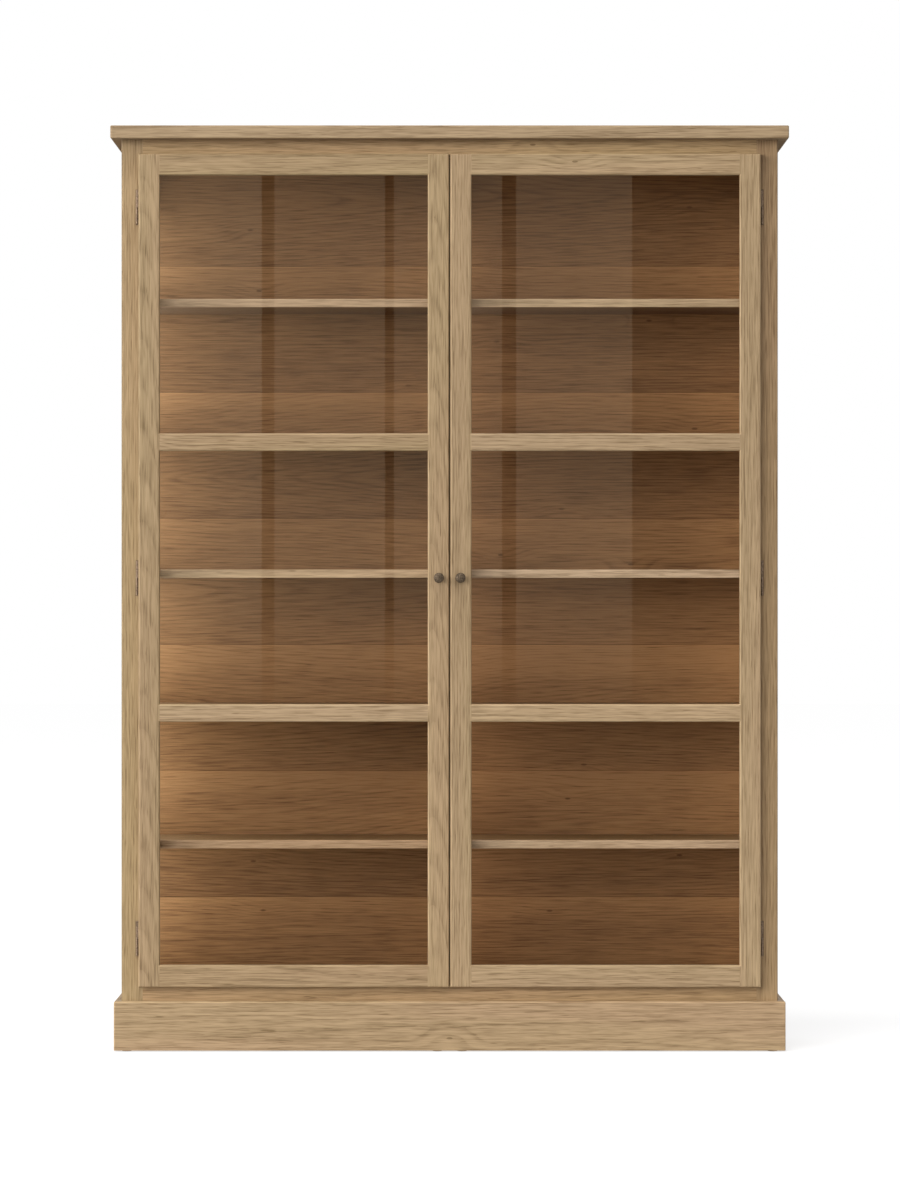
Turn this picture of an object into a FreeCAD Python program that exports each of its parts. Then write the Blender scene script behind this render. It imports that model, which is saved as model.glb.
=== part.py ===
import FreeCAD, Part
import os

from FreeCAD import Vector

# Bookcase with two glazed oak doors, in millimetres.
# The front faces -Y, +Z is up, and the origin lies on the floor under the middle of the whole piece.

# Overall sizes and the top board
OVERALL_HEIGHT = 2000.0
CARCASS_WIDTH = 1420.0
TOP_DEPTH = 400.0
TOP_THICK = 28.0
TOP_FRONT_OVERHANG = 40.0
TOP_SIDE_OVERHANG = 22.0
TOP_REAR_OVERHANG = 8.0
TOP_EDGE_ROUND = 3.0

# Carcass boards
SIDE_THICK = 22.0
PARTITION_THICK = 22.0
BOTTOM_THICK = 20.0
BACK_THICK = 8.0
BACK_REBATE = 10.0
BACK_ABOVE_FLOOR = 12.0
HOUSING_DEPTH = 6.0
BEARER_THICK = 22.0
BEARER_OFFSET = 27.0

# Face frame
FRAME_THICK = 22.0
FRAME_TOP_RAIL = 46.0
FRAME_BOTTOM_RAIL = 60.0
MULLION_WIDTH = 60.0
FRAME_TENON = 15.0
MULLION_TENON = 12.0
TENON_THICK = 8.0
TENON_SHOULDER = 10.0
FRAME_ROUND = 3.0

# Plinth and the glides under it
PLINTH_HEIGHT = 106.5
PLINTH_THICK = 16.0
PLINTH_ROUND = 4.0
PLINTH_CORNER_ROUND = 3.0
RAIL_BEHIND_PLINTH = 8.0
GLIDE_HEIGHT = 2.5
GLIDE_RADIUS = 10.0
GLIDE_NAIL_RADIUS = 1.5
GLIDE_NAIL_LENGTH = 14.0
GLIDE_REAR_INSET = 30.0

# Shelves and their pins
SHELF_COUNT = 5
TOP_COMPARTMENT = 342.25
SHELF_THICK = 18.0
SHELF_SETBACK = 16.0
SHELF_END_CLEARANCE = 1.0
SHELF_BACK_CLEARANCE = 2.0
SHELF_ROUND = 1.5
PIN_RADIUS = 2.5
PIN_FLAT = 1.5
PIN_DEPTH = 8.0
PIN_REACH = 9.0
PIN_INSET = 40.0
SPARE_HOLE_PITCH = 32.0

# Door frames and glass
DOOR_GAP = 2.5
DOOR_SIDE_REVEAL = 37.75
DOOR_TOP_REVEAL = 32.0
DOOR_BOTTOM_REVEAL = 31.0
DOOR_THICK = 22.0
DOOR_STILE_WIDTH = 46.0
DOOR_TOP_RAIL = 46.0
DOOR_MID_RAIL = 38.0
DOOR_BOTTOM_RAIL = 48.0
MID_RAIL_SHELVES = (2, 4)
MID_RAILS_OVER_SHELVES = (2.75, 0.25)
DOOR_TENON = 20.0
DOOR_TENON_PAST_REBATE = 2.0
DOOR_ROUND = 4.0
SIGHT_ROUND = 4.0
DOOR_LIP = 9.0
GLASS_THICK = 4.0
GLASS_CLEARANCE = 1.0
REBATE_WIDTH = 8.0
BEAD_ROUND = 5.0
LEAST_FLAT = 0.5

# Hinges, three for each door
HINGE_HEIGHT = 76.0
HINGE_TOP_INSET = 114.0
HINGE_BOTTOM_INSET = 104.0
HANDLE_LINE_DROP = 16.0
HINGE_STANDOFF = 3.75
KNUCKLE_RADIUS = 3.0
KNUCKLE_GAP = 0.3
KNUCKLE_CLEARANCE = 0.4
KNUCKLE_END_ROUND = 1.2
LEAF_THICK = 1.5
LEAF_WIDTH = 12.0
HINGE_PIN_RADIUS = 1.5
HINGE_PIN_CLEARANCE = 0.05
HINGE_PIN_END = 6.0
HINGE_SCREW_SPREAD = 28.0

# Countersunk wood screws for hinges, catch plates and the back panel
SCREW_LENGTH = 16.0
SCREW_RADIUS = 1.5
SCREW_HEAD_RADIUS = 2.7
SCREW_HEAD_HEIGHT = 1.2
SCREW_POINT = 2.5
BACK_SCREW_ROWS = 7
BACK_SCREW_END = 60.0
BOTTOM_SCREWS_EACH_SIDE = 2

# Knobs and the bolts that hold them
KNOB_RADIUS = 11.0
KNOB_PROJECTION = 24.0
KNOB_HEAD_THICK = 9.0
KNOB_DOME = 4.0
KNOB_RIM_ROUND = 1.25
KNOB_BASE_RADIUS = 8.0
KNOB_BASE_THICK = 2.0
KNOB_NECK_RADIUS = 4.8
KNOB_INSET = 22.0
BOLT_RADIUS = 2.0
BOLT_IN_KNOB = 10.0
BOLT_HEAD_RADIUS = 4.0
BOLT_HEAD_HEIGHT = 2.6
BOLT_HEAD_SUNK = 0.6
BOLT_RECESS_CLEARANCE = 0.5

# Magnetic catches
MAGNET_RADIUS = 5.0
MAGNET_DEPTH = 10.0
CATCH_INSET = 15.0
CATCH_END_INSET = 45.0
CATCH_CLEARANCE = 0.3
PLATE_THICK = 1.5
PLATE_WIDTH = 14.0
PLATE_HEIGHT = 44.0
PLATE_SCREW_SPREAD = 15.0

# A cutter reaches this far past the face that it opens
PAST = 1.0
TOLERANCE = 1e-4

# Places across the width, for the left half
side_outer_x = -CARCASS_WIDTH / 2
side_inner_x = side_outer_x + SIDE_THICK
door_outer_x = side_outer_x + DOOR_SIDE_REVEAL
door_inner_x = -DOOR_GAP / 2
sight_outer_x = door_outer_x + DOOR_STILE_WIDTH
sight_inner_x = door_inner_x - DOOR_STILE_WIDTH
hinge_x = door_outer_x - HINGE_STANDOFF
stile_inner_x = hinge_x + LEAF_WIDTH
partition_x = PARTITION_THICK / 2
plinth_outer_x = side_outer_x - PLINTH_THICK
back_edge_x = side_inner_x - BACK_REBATE
back_screw_x = side_inner_x - BACK_REBATE / 2
knob_x = door_inner_x - KNOB_INSET
catch_x = door_inner_x - CATCH_INSET

# Places from front to back
door_back_gap = 2 * (KNUCKLE_RADIUS - LEAF_THICK)
knob_past_top = KNOB_PROJECTION + DOOR_THICK + door_back_gap - TOP_FRONT_OVERHANG
top_rear_y = (TOP_DEPTH + max(knob_past_top, 0)) / 2
top_front_y = top_rear_y - TOP_DEPTH
frame_front_y = top_front_y + TOP_FRONT_OVERHANG
frame_back_y = frame_front_y + FRAME_THICK
side_rear_y = top_rear_y - TOP_REAR_OVERHANG
back_front_y = side_rear_y - BACK_THICK
door_back_y = frame_front_y - door_back_gap
door_front_y = door_back_y - DOOR_THICK
glass_front_y = door_front_y + DOOR_LIP
glass_back_y = glass_front_y + GLASS_THICK
hinge_y = (frame_front_y + door_back_y) / 2
plinth_front_y = frame_front_y - PLINTH_THICK
shelf_front_y = frame_back_y + SHELF_SETBACK
shelf_back_y = back_front_y - SHELF_BACK_CLEARANCE
frame_tenon_y = (frame_front_y + frame_back_y - TENON_THICK) / 2
door_tenon_y = (door_front_y + door_back_y - TENON_THICK) / 2

# Heights
base_z = GLIDE_HEIGHT
plinth_top_z = base_z + PLINTH_HEIGHT
bottom_rail_z = plinth_top_z - RAIL_BEHIND_PLINTH
bottom_top_z = bottom_rail_z + FRAME_BOTTOM_RAIL
bottom_under_z = bottom_top_z - BOTTOM_THICK
top_under_z = OVERALL_HEIGHT - TOP_THICK
top_rail_z = top_under_z - FRAME_TOP_RAIL
door_bottom_z = plinth_top_z + DOOR_BOTTOM_REVEAL
door_top_z = top_under_z - DOOR_TOP_REVEAL
handle_z = (door_bottom_z + door_top_z) / 2 - HANDLE_LINE_DROP
shelf_pitch = (top_under_z - TOP_COMPARTMENT - bottom_top_z) / SHELF_COUNT
shelf_tops = [bottom_top_z + shelf_pitch * number for number in range(1, SHELF_COUNT + 1)]
hinge_heights = (door_bottom_z + HINGE_BOTTOM_INSET, handle_z, door_top_z - HINGE_TOP_INSET)
catch_heights = (bottom_top_z + CATCH_END_INSET, top_rail_z - CATCH_END_INSET)

INTO_FRAME = Vector(0, 1, 0)
INTO_DOOR = Vector(0, -1, 0)


def block(x0, x1, y0, y1, z0, z1):
    """A square-edged board between two corners."""
    return Part.makeBox(x1 - x0, y1 - y0, z1 - z0, Vector(x0, y0, z0))


def edges_on(shape, **planes):
    """The edges that lie wholly at the given x, y or z."""
    found = []
    for edge in shape.Edges:
        box = edge.BoundBox
        limits = {"x": (box.XMin, box.XMax), "y": (box.YMin, box.YMax), "z": (box.ZMin, box.ZMax)}
        if all(abs(end - at) < TOLERANCE for axis, at in planes.items() for end in limits[axis]):
            found.append(edge)
    return found


def rounded(shape, radius, *places):
    """The shape with the edges at the given places rounded."""
    edges = [edge for place in places for edge in edges_on(shape, **place)]
    return shape.makeFillet(radius, edges)


def mirrored(shape):
    """The same piece on the other half of the bookcase."""
    return shape.mirror(Vector(0, 0, 0), Vector(1, 0, 0))


def pair(shapes):
    """The pieces of the left half, then their mirror images."""
    return shapes + [mirrored(shape) for shape in shapes]


def turned(points, at, direction):
    """A round piece from its half section (radius, height), set at a point and facing a direction."""
    corners = [Vector(radius, 0, height) for radius, height in points]
    section = Part.Face(Part.makePolygon(corners + corners[:1]))
    piece = section.revolve(Vector(0, 0, 0), Vector(0, 0, 1), 360)
    piece.Placement = FreeCAD.Placement(at, FreeCAD.Rotation(Vector(0, 0, 1), direction))
    return piece


def wood_screw(at, direction):
    """A countersunk screw with the face of its head at a point."""
    half = [(0, 0), (SCREW_HEAD_RADIUS, 0), (SCREW_RADIUS, SCREW_HEAD_HEIGHT)]
    half += [(SCREW_RADIUS, SCREW_LENGTH - SCREW_POINT), (0, SCREW_LENGTH)]
    return turned(half, at, direction)


def save(name, shape):
    """One file for each piece, or for each group of like fasteners."""
    shape.exportStep("parts/" + name + ".step")


def save_group(name, shapes):
    save(name, Part.makeCompound(shapes))


# Shelf pins: a round stem in the panel, flat on top where the shelf rests
def pin_places():
    for shelf_top in shelf_tops:
        for y in (shelf_front_y + PIN_INSET, shelf_back_y - PIN_INSET):
            yield y, shelf_top - SHELF_THICK - PIN_FLAT


def pin_hole(face_x, into, y, z):
    """The hole in a panel's face; into is the way from the face into the panel."""
    return Part.makeCylinder(PIN_RADIUS, PIN_DEPTH, Vector(face_x, y, z), Vector(into, 0, 0))


def shelf_pin(face_x, into, y, z):
    start = Vector(face_x + into * PIN_DEPTH, y, z)
    stem = Part.makeCylinder(PIN_RADIUS, PIN_DEPTH + PIN_REACH, start, Vector(-into, 0, 0))
    ends = sorted((face_x, face_x - into * (PIN_REACH + PAST)))
    above = block(ends[0], ends[1], y - PIN_RADIUS, y + PIN_RADIUS, z + PIN_FLAT, z + PIN_RADIUS + PAST)
    return stem.cut(above)


def pin_holes(face_x, into):
    """Each pin's hole and a spare one above and below it."""
    spare_steps = (-SPARE_HOLE_PITCH, 0, SPARE_HOLE_PITCH)
    return [pin_hole(face_x, into, y, z + step) for y, z in pin_places() for step in spare_steps]


left_bay_pins = [shelf_pin(side_inner_x, -1, y, z) for y, z in pin_places()]
left_bay_pins += [shelf_pin(-partition_x, 1, y, z) for y, z in pin_places()]


# Hinges: the lower knuckle and the pin belong to the frame, the upper knuckle to the door
def hinge_knuckle(z0, z1, rounded_z):
    knuckle = Part.makeCylinder(KNUCKLE_RADIUS, z1 - z0, Vector(hinge_x, hinge_y, z0))
    return rounded(knuckle, KNUCKLE_END_ROUND, {"z": rounded_z})


def hinge_leaf(centre_z, y0, knuckle, joined):
    """A leaf plate with the strip that joins it to its own knuckle, between the heights in joined."""
    half = HINGE_HEIGHT / 2
    clear_x = hinge_x + KNUCKLE_RADIUS + KNUCKLE_CLEARANCE
    plate = block(clear_x, stile_inner_x, y0, y0 + LEAF_THICK, centre_z - half, centre_z + half)
    strip = block(hinge_x, clear_x + PAST, y0, y0 + LEAF_THICK, *joined)
    return plate.fuse([strip, knuckle]).removeSplitter()


def hinge_pieces(centre_z):
    """The frame leaf, door leaf, pin and screws of one left-hand hinge."""
    half = HINGE_HEIGHT / 2
    lower = (centre_z - half, centre_z - KNUCKLE_GAP / 2)
    upper = (centre_z + KNUCKLE_GAP / 2, centre_z + half)
    pin_base = Vector(hinge_x, hinge_y, lower[0] + HINGE_PIN_END)
    pin_length = HINGE_HEIGHT - 2 * HINGE_PIN_END
    pin = Part.makeCylinder(HINGE_PIN_RADIUS, pin_length, pin_base)
    bore_radius = HINGE_PIN_RADIUS + HINGE_PIN_CLEARANCE
    bore = Part.makeCylinder(bore_radius, pin_length + HINGE_PIN_CLEARANCE, pin_base)

    frame_leaf = hinge_leaf(centre_z, frame_front_y, hinge_knuckle(*lower, lower[0]), lower)
    door_leaf = hinge_leaf(centre_z, door_back_y - LEAF_THICK, hinge_knuckle(*upper, upper[1]), upper)
    screw_x = (hinge_x + KNUCKLE_RADIUS + stile_inner_x) / 2
    frame_screws = []
    door_screws = []
    for z in (centre_z - HINGE_SCREW_SPREAD, centre_z, centre_z + HINGE_SCREW_SPREAD):
        frame_screws.append(wood_screw(Vector(screw_x, frame_front_y, z), INTO_FRAME))
        door_screws.append(wood_screw(Vector(screw_x, door_back_y, z), INTO_DOOR))
    frame_leaf = frame_leaf.cut([pin] + frame_screws)
    door_leaf = door_leaf.cut([bore] + door_screws)
    return frame_leaf, door_leaf, pin, frame_screws, door_screws


def hinge_seats(centre_z):
    """The shallow seat of the leaf in the frame stile, and the deeper one under the knuckles."""
    z0 = centre_z - HINGE_HEIGHT / 2 - KNUCKLE_CLEARANCE
    z1 = centre_z + HINGE_HEIGHT / 2 + KNUCKLE_CLEARANCE
    reach = KNUCKLE_RADIUS + KNUCKLE_CLEARANCE
    seat_y = frame_front_y + LEAF_THICK
    leaf_seat = block(hinge_x, stile_inner_x + PAST, frame_front_y - PAST, seat_y, z0, z1)
    knuckle_depth_y = hinge_y + reach
    knuckle_seat = block(hinge_x - reach, hinge_x + reach, frame_front_y - PAST, knuckle_depth_y, z0, z1)
    return [leaf_seat, knuckle_seat]


frame_leaves = []
door_leaves = []
hinge_pins = []
frame_hinge_screws = []
door_hinge_screws = []
for hinge_z in hinge_heights:
    frame_leaf, door_leaf, pin, in_frame, in_door = hinge_pieces(hinge_z)
    frame_leaves.append(frame_leaf)
    door_leaves.append(door_leaf)
    hinge_pins.append(pin)
    frame_hinge_screws += in_frame
    door_hinge_screws += in_door


# Glides: a round foot with a nail, under the side panels and the centre bearers
def glide(x, y):
    half = [(0, 0), (GLIDE_RADIUS, 0), (GLIDE_RADIUS, GLIDE_HEIGHT), (GLIDE_NAIL_RADIUS, GLIDE_HEIGHT)]
    half += [(GLIDE_NAIL_RADIUS, GLIDE_HEIGHT + GLIDE_NAIL_LENGTH), (0, GLIDE_HEIGHT + GLIDE_NAIL_LENGTH)]
    return turned(half, Vector(x, y, 0), Vector(0, 0, 1))


glide_ys = ((frame_front_y + frame_back_y) / 2, back_front_y - GLIDE_REAR_INSET)
glide_xs = (side_outer_x + SIDE_THICK / 2, -BEARER_OFFSET)
left_glides = [glide(x, y) for x in glide_xs for y in glide_ys]

# Magnets stand proud of the mullion and stop just short of the plates, which are let into the doors
magnet_face_y = door_back_y + CATCH_CLEARANCE
left_magnets = []
for catch_z in catch_heights:
    centre = Vector(catch_x, magnet_face_y, catch_z)
    left_magnets.append(Part.makeCylinder(MAGNET_RADIUS, MAGNET_DEPTH, centre, INTO_FRAME))


# Face frame
def frame_rail(z0, z1):
    """A rail between the frame stiles, with a tenon at each end."""
    rail = block(stile_inner_x, -stile_inner_x, frame_front_y, frame_back_y, z0, z1)
    tenon_end_x = stile_inner_x - FRAME_TENON
    tenon = block(tenon_end_x, -tenon_end_x, frame_tenon_y, frame_tenon_y + TENON_THICK,
                  z0 + TENON_SHOULDER, z1 - TENON_SHOULDER)
    return rail.fuse(tenon).removeSplitter()


half_mullion = MULLION_WIDTH / 2
mullion = block(-half_mullion, half_mullion, frame_front_y, frame_back_y, bottom_top_z, top_rail_z)
mullion_tenon = block(-half_mullion + TENON_SHOULDER, half_mullion - TENON_SHOULDER,
                      frame_tenon_y, frame_tenon_y + TENON_THICK,
                      bottom_top_z - MULLION_TENON, top_rail_z + MULLION_TENON)
mullion = mullion.fuse(mullion_tenon).removeSplitter()
frame_top_rail = frame_rail(top_rail_z, top_under_z)
frame_bottom_rail = frame_rail(bottom_rail_z, bottom_top_z)

frame_stile = block(side_outer_x, stile_inner_x, frame_front_y, frame_back_y, base_z, top_under_z)
frame_stile = rounded(frame_stile, FRAME_ROUND, {"x": side_outer_x, "y": frame_front_y})
stile_cuts = [frame_top_rail, frame_bottom_rail] + frame_hinge_screws + left_glides
for hinge_z in hinge_heights:
    stile_cuts += hinge_seats(hinge_z)
frame_stile = frame_stile.cut(stile_cuts)

# Carcass
partition = block(-partition_x, partition_x, frame_back_y, back_front_y,
                  bottom_top_z - HOUSING_DEPTH, top_under_z + HOUSING_DEPTH)
bottom_board = block(side_inner_x - HOUSING_DEPTH, -side_inner_x + HOUSING_DEPTH,
                     frame_back_y, back_front_y, bottom_under_z, bottom_top_z)
side_panel = block(side_outer_x, side_inner_x, frame_back_y, side_rear_y,
                   base_z, top_under_z + HOUSING_DEPTH)
back_rebate = block(back_edge_x, side_inner_x + PAST, back_front_y, side_rear_y + PAST,
                    base_z - PAST, top_under_z + HOUSING_DEPTH + PAST)
back_panel = block(back_edge_x, -back_edge_x, back_front_y, side_rear_y, BACK_ABOVE_FLOOR, top_under_z)
top_board = block(side_outer_x - TOP_SIDE_OVERHANG, -side_outer_x + TOP_SIDE_OVERHANG,
                  top_front_y, top_rear_y, top_under_z, OVERALL_HEIGHT)
top_end_x = side_outer_x - TOP_SIDE_OVERHANG
top_board = rounded(top_board, TOP_EDGE_ROUND,
                    {"y": top_front_y},
                    {"x": top_end_x, "z": OVERALL_HEIGHT}, {"x": -top_end_x, "z": OVERALL_HEIGHT},
                    {"x": top_end_x, "z": top_under_z}, {"x": -top_end_x, "z": top_under_z})
bearer = block(-BEARER_OFFSET - BEARER_THICK / 2, -BEARER_OFFSET + BEARER_THICK / 2,
               frame_front_y, back_front_y, base_z, bottom_under_z)

back_screws = []
screw_step = (top_under_z - bottom_top_z - 2 * BACK_SCREW_END) / (BACK_SCREW_ROWS - 1)
for row in range(BACK_SCREW_ROWS):
    for x in (back_screw_x, 0, -back_screw_x):
        at = Vector(x, side_rear_y, bottom_top_z + BACK_SCREW_END + row * screw_step)
        back_screws.append(wood_screw(at, INTO_DOOR))
bottom_step = side_inner_x / (BOTTOM_SCREWS_EACH_SIDE + 1)
for number in range(1, BOTTOM_SCREWS_EACH_SIDE + 1):
    at = Vector(number * bottom_step, side_rear_y, (bottom_under_z + bottom_top_z) / 2)
    back_screws += pair([wood_screw(at, INTO_DOOR)])

side_holes = pin_holes(side_inner_x, -1) + back_screws + left_glides
side_panel = side_panel.cut([back_rebate, bottom_board] + side_holes)
top_board = top_board.cut([side_panel, mirrored(side_panel), partition])
bottom_board = bottom_board.cut([partition] + back_screws)
partition = partition.cut(pin_holes(-partition_x, 1) + pin_holes(partition_x, -1) + back_screws)
back_panel = back_panel.cut(back_screws)
bearer = bearer.cut([frame_bottom_rail] + left_glides)


# Plinth: three boards mitred at the front corners, with the top edge and the corners rounded
def mitre_cutter(*corners):
    points = [Vector(x, y, base_z - PAST) for x, y in corners]
    return Part.Face(Part.makePolygon(points + points[:1])).extrude(Vector(0, 0, PLINTH_HEIGHT + 2 * PAST))


def corner_waste():
    """What comes off both boards to round the upright corner where they meet."""
    x = plinth_outer_x + PLINTH_CORNER_ROUND
    y = plinth_front_y + PLINTH_CORNER_ROUND
    under_z = base_z - PAST
    waste = block(plinth_outer_x - PAST, x, plinth_front_y - PAST, y, under_z, plinth_top_z + PAST)
    rod = Part.makeCylinder(PLINTH_CORNER_ROUND, PLINTH_HEIGHT + 2 * PAST, Vector(x, y, under_z))
    return waste.cut(rod)


outer_corner = (plinth_outer_x, plinth_front_y)
inner_corner = (side_outer_x, frame_front_y)
plinth_front = block(plinth_outer_x, -plinth_outer_x, plinth_front_y, frame_front_y, base_z, plinth_top_z)
plinth_front = rounded(plinth_front, PLINTH_ROUND, {"y": plinth_front_y, "z": plinth_top_z})
front_waste = mitre_cutter(outer_corner, (plinth_outer_x, frame_front_y), inner_corner)
plinth_front = plinth_front.cut(pair([front_waste, corner_waste()]))
plinth_side = block(plinth_outer_x, side_outer_x, plinth_front_y, side_rear_y, base_z, plinth_top_z)
plinth_side = rounded(plinth_side, PLINTH_ROUND, {"x": plinth_outer_x, "z": plinth_top_z})
side_waste = mitre_cutter(outer_corner, (side_outer_x, plinth_front_y), inner_corner)
plinth_side = plinth_side.cut([side_waste, corner_waste()])


# Shelves
def shelf(top_z):
    under_z = top_z - SHELF_THICK
    board = block(side_inner_x + SHELF_END_CLEARANCE, -partition_x - SHELF_END_CLEARANCE,
                  shelf_front_y, shelf_back_y, under_z, top_z)
    return rounded(board, SHELF_ROUND, {"y": shelf_front_y, "z": top_z}, {"y": shelf_front_y, "z": under_z})


# Doors, drawn for the left one
mid_rail_tops = [bottom_top_z + shelf_pitch * number + over
                 for number, over in zip(MID_RAIL_SHELVES, MID_RAILS_OVER_SHELVES)]
lower_rail_z, upper_rail_z = [top - DOOR_MID_RAIL for top in mid_rail_tops]
rail_heights = {
    "bottom_rail": (door_bottom_z, door_bottom_z + DOOR_BOTTOM_RAIL),
    "lower_mid_rail": (lower_rail_z, mid_rail_tops[0]),
    "upper_mid_rail": (upper_rail_z, mid_rail_tops[1]),
    "top_rail": (door_top_z - DOOR_TOP_RAIL, door_top_z),
}
pane_heights = {
    "lower_pane": (rail_heights["bottom_rail"][1], lower_rail_z),
    "middle_pane": (mid_rail_tops[0], upper_rail_z),
    "upper_pane": (mid_rail_tops[1], rail_heights["top_rail"][0]),
}


def glass_rebate(z0, z1):
    """The step behind the sight opening that takes the pane and its beads."""
    return block(sight_outer_x - REBATE_WIDTH, sight_inner_x + REBATE_WIDTH,
                 glass_front_y, door_back_y + PAST, z0 - REBATE_WIDTH, z1 + REBATE_WIDTH)


def sight_rounding(z0, z1):
    """The waste of a rounded edge all round a sight opening, mitred at its corners."""
    x0 = sight_outer_x - SIGHT_ROUND
    x1 = sight_inner_x + SIGHT_ROUND
    z0 = z0 - SIGHT_ROUND
    z1 = z1 + SIGHT_ROUND
    y = door_front_y + SIGHT_ROUND
    waste = block(x0, x1, door_front_y - PAST, y, z0, z1)
    along_x = Vector(1, 0, 0)
    rods = [Part.makeCylinder(SIGHT_ROUND, z1 - z0, Vector(x, y, z0)) for x in (x0, x1)]
    rods += [Part.makeCylinder(SIGHT_ROUND, x1 - x0, Vector(x0, y, z), along_x) for z in (z0, z1)]
    inner = block(x0 + SIGHT_ROUND, x1 - SIGHT_ROUND, door_front_y - PAST, y,
                  z0 + SIGHT_ROUND, z1 - SIGHT_ROUND)
    front = block(x0, x1, door_front_y - PAST, door_front_y, z0, z1)
    return waste.cut(rods).fuse([inner, front])


def door_rail(z0, z1):
    """A rail between the door stiles, with a tenon at each end."""
    rail = block(sight_outer_x, sight_inner_x, door_front_y, door_back_y, z0, z1)
    shoulder = REBATE_WIDTH + DOOR_TENON_PAST_REBATE
    tenon = block(sight_outer_x - DOOR_TENON, sight_inner_x + DOOR_TENON,
                  door_tenon_y, door_tenon_y + TENON_THICK, z0 + shoulder, z1 - shoulder)
    return rail, tenon


def glazing_beads(z0, z1):
    """Four strips round the back of a pane: two uprights, and two between them."""
    left = sight_outer_x - REBATE_WIDTH
    right = sight_inner_x + REBATE_WIDTH
    low = z0 - REBATE_WIDTH
    high = z1 + REBATE_WIDTH
    uprights = [(left, sight_outer_x, sight_outer_x), (sight_inner_x, right, sight_inner_x)]
    edge_round = min(BEAD_ROUND, door_back_y - glass_back_y - LEAST_FLAT, REBATE_WIDTH - LEAST_FLAT)
    beads = []
    for x0, x1, edge_x in uprights:
        strip = block(x0, x1, glass_back_y, door_back_y, low, high)
        beads.append(rounded(strip, edge_round, {"x": edge_x, "y": door_back_y}))
    for b0, b1, edge_z in ((low, z0, z0), (z1, high, z1)):
        strip = block(sight_outer_x, sight_inner_x, glass_back_y, door_back_y, b0, b1)
        beads.append(rounded(strip, edge_round, {"z": edge_z, "y": door_back_y}))
    return beads


def pane(z0, z1):
    edge = REBATE_WIDTH - GLASS_CLEARANCE
    return block(sight_outer_x - edge, sight_inner_x + edge,
                 glass_front_y, glass_back_y, z0 - edge, z1 + edge)


# The knob's half section, from its base on the door to the tip of its dome, which is part of a ball
head_back = KNOB_PROJECTION - KNOB_HEAD_THICK
rim_front = KNOB_PROJECTION - KNOB_DOME
rim_middle = (head_back + rim_front) / 2
dome_radius = KNOB_RADIUS - KNOB_RIM_ROUND
ball_radius = (dome_radius ** 2 + KNOB_DOME ** 2) / (2 * KNOB_DOME)
ball_height = KNOB_PROJECTION - ball_radius


def knob_section():
    """Lines and arcs through (radius, height) points."""
    def at(radius, height):
        return Vector(radius, 0, height)

    def on_ball(radius):
        return at(radius, ball_height + (ball_radius ** 2 - radius ** 2) ** 0.5)

    base_edge = at(KNOB_BASE_RADIUS, 0)
    base_rim = at(KNOB_BASE_RADIUS, KNOB_BASE_THICK)
    neck_foot = at(KNOB_NECK_RADIUS, KNOB_BASE_THICK + KNOB_RIM_ROUND)
    neck_top = at(KNOB_NECK_RADIUS, head_back - KNOB_RIM_ROUND)
    head_edge = at(dome_radius, head_back)
    rim_edge = at(KNOB_RADIUS, rim_middle)
    tip = at(0, KNOB_PROJECTION)
    return [
        Part.LineSegment(at(0, 0), base_edge),
        Part.LineSegment(base_edge, base_rim),
        Part.LineSegment(base_rim, neck_foot),
        Part.LineSegment(neck_foot, neck_top),
        Part.LineSegment(neck_top, head_edge),
        Part.Arc(head_edge, rim_edge, on_ball(dome_radius)),
        Part.Arc(on_ball(dome_radius), on_ball(dome_radius / 2), tip),
        Part.LineSegment(tip, at(0, 0)),
    ]


def knob():
    section = Part.Face(Part.Wire([line.toShape() for line in knob_section()]))
    piece = section.revolve(Vector(0, 0, 0), Vector(0, 0, 1), 360)
    place = Vector(knob_x, door_front_y, handle_z)
    piece.Placement = FreeCAD.Placement(place, FreeCAD.Rotation(Vector(0, 0, 1), INTO_DOOR))
    return piece


bolt_recess = BOLT_HEAD_HEIGHT + BOLT_HEAD_SUNK


def knob_bolt():
    """The bolt from behind the meeting stile into the knob, its head sunk in a recess."""
    head_y = door_back_y - bolt_recess
    length = head_y - door_front_y + BOLT_IN_KNOB
    half = [(0, -BOLT_HEAD_HEIGHT), (BOLT_HEAD_RADIUS, -BOLT_HEAD_HEIGHT), (BOLT_HEAD_RADIUS, 0)]
    half += [(BOLT_RADIUS, 0), (BOLT_RADIUS, length), (0, length)]
    return turned(half, Vector(knob_x, head_y, handle_z), INTO_DOOR)


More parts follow.
